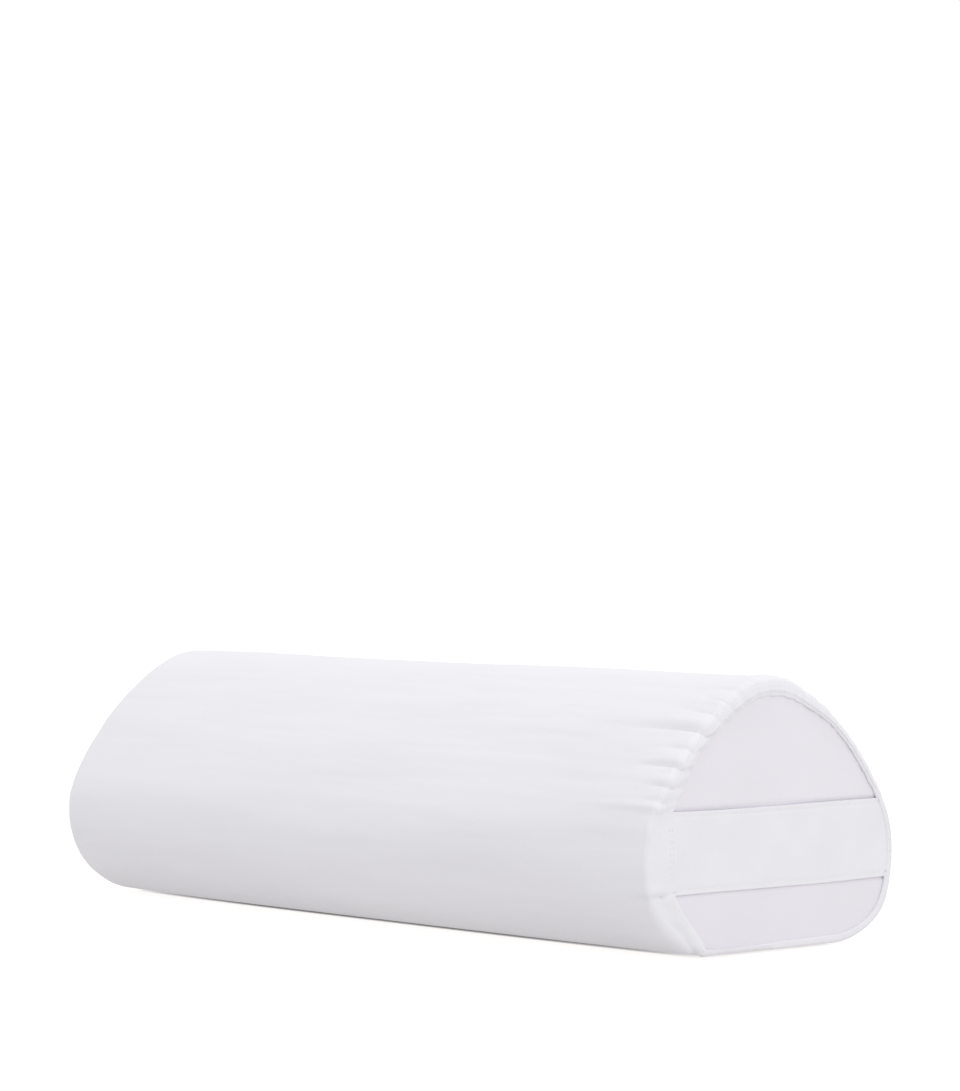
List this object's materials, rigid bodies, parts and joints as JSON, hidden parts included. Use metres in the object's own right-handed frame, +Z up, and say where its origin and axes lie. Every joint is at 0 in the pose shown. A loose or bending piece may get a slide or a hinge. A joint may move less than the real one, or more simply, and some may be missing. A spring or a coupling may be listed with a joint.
{
  "type": "bolster pillow",
  "caption": "Flat-based foam bolster with a rounded-triangle section, in a zipped casing and a fitted cotton cover with a gathered open end and a strap across it.",
  "frame": {"origin": "centre of the underside, on the surface the bolster lies on", "axes": "+X along the bolster, out of the cover's open end; +Z up; +Y across"},
  "size_m": [0.66, 0.246, 0.1899],
  "materials": {
    "cover_cotton": "brushed cotton, matte",
    "casing_vinyl": "smooth coated fabric, matte",
    "foam": "open-cell foam, matte",
    "elastic": "covered elastic band, matte",
    "thread": "spun thread, matte",
    "zip_tape": "woven tape, matte",
    "zip_teeth": "moulded, satin",
    "zip_metal": "enamelled, satin"
  },
  "bodies": {
    "pillow": {"cover_wrap": "cover_cotton", "cover_closed_end_panel": "cover_cotton", "gathered_hem": "cover_cotton", "side_hem_left": "cover_cotton", "side_hem_right": "cover_cotton", "lower_hem": "cover_cotton", "strap_face": "cover_cotton", "strap_backing": "cover_cotton", "hem_elastic": "elastic", "hem_stitching": "thread", "side_hem_stitching": "thread", "strap_stitching": "thread", "lower_hem_stitching": "thread", "casing_wrap": "casing_vinyl", "casing_open_end_panel": "casing_vinyl", "casing_closed_end_panel": "casing_vinyl", "foam_core": "foam", "zip_tape_left": "zip_tape", "zip_tape_right": "zip_tape", "zip_teeth_left": "zip_teeth", "zip_teeth_right": "zip_teeth", "zip_end_stops": "zip_teeth"},
    "slider": {"zip_slider": "zip_metal"}
  },
  "joints": [
    {"name": "zip_slide", "type": "slide", "parent": "pillow", "child": "slider", "axis": [-1, 0, 0], "range_m": [0, 0.54], "deforming": ["zip_teeth_left", "zip_teeth_right"]}
  ]
}
